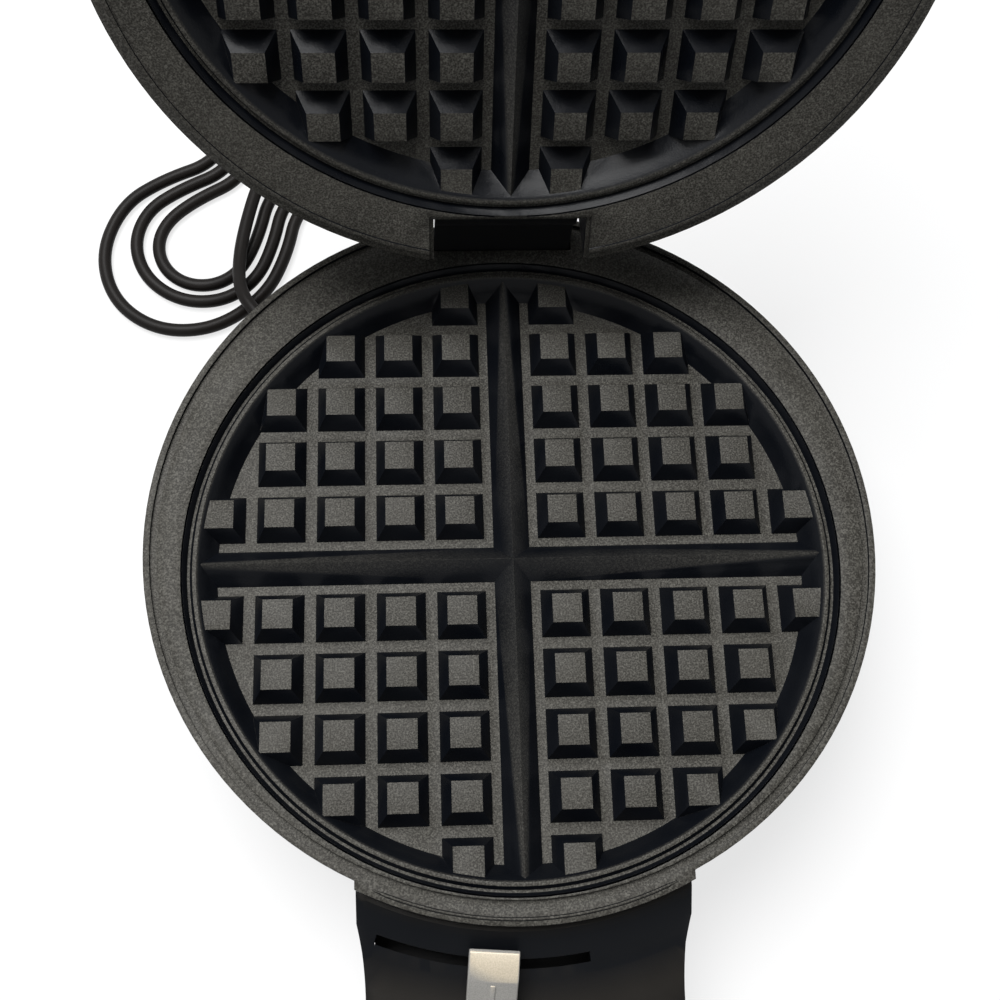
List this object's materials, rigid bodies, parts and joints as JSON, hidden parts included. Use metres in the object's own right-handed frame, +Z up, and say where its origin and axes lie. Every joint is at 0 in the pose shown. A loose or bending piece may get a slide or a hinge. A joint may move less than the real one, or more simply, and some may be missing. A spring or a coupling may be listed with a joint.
{
  "type": "round waffle maker",
  "caption": "Round hinged waffle maker with ridged upper and lower grid plates, a slider heat control in the front handle and a mains cord, resting open.",
  "frame": {"origin": "on the table, under the middle of the open cooker's box without its cord", "axes": "+X to the right, +Y towards the hinge, +Z up"},
  "size_m": [0.2297, 0.3609, 0.3047],
  "materials": {
    "casing": "fine matt black moulding",
    "panel": "satin black moulding",
    "plate_coating": "speckled dark non-stick coating",
    "element": "dull steel",
    "reflector": "bright sheet",
    "rubber": "matt rubber",
    "screw": "zinc plated",
    "thermostat": "unglazed",
    "pin": "ground",
    "lamp": "clear red lens",
    "terminal": "plain",
    "cord": "smooth flexible jacket",
    "blade": "plain",
    "skin": "brushed",
    "knob": "satin silver"
  },
  "bodies": {
    "base": {"base_housing": "casing", "lower_grid_plate": "plate_coating", "lower_heating_element": "element", "lower_reflector": "reflector", "base_cover": "casing", "rubber_feet": "rubber", "base_screws": "screw", "thermostat": "thermostat", "thermostat_bracket": "element", "hinge_post": "casing", "hinge_pin": "pin", "control_panel": "panel", "panel_floor": "panel", "signal_lamps": "lamp", "terminal_block": "terminal", "strain_relief": "rubber", "cord_lead": "cord", "cord_loops": "cord", "plug": "cord", "plug_blades": "blade"},
    "lid": {"upper_grid_plate": "plate_coating", "upper_heating_element": "element", "upper_reflector": "reflector", "lid_housing": "casing", "lid_skin": "skin", "lid_screws": "screw", "lid_handle": "panel", "hinge_bushes": "pin"},
    "slider": {"slider_arm": "element", "slider_knob": "knob"}
  },
  "joints": [
    {"name": "lid_hinge", "type": "hinge", "parent": "base", "child": "lid", "pos_m": [0, 0.0747, 0.0766], "axis": [1, 0, 0], "range_deg": [0, 112.3]},
    {"name": "slider_turn", "type": "hinge", "parent": "base", "child": "slider", "pos_m": [0, -0.0236, 0.025], "axis": [0, 0, 1], "range_deg": [-15.6, 12.4]}
  ]
}
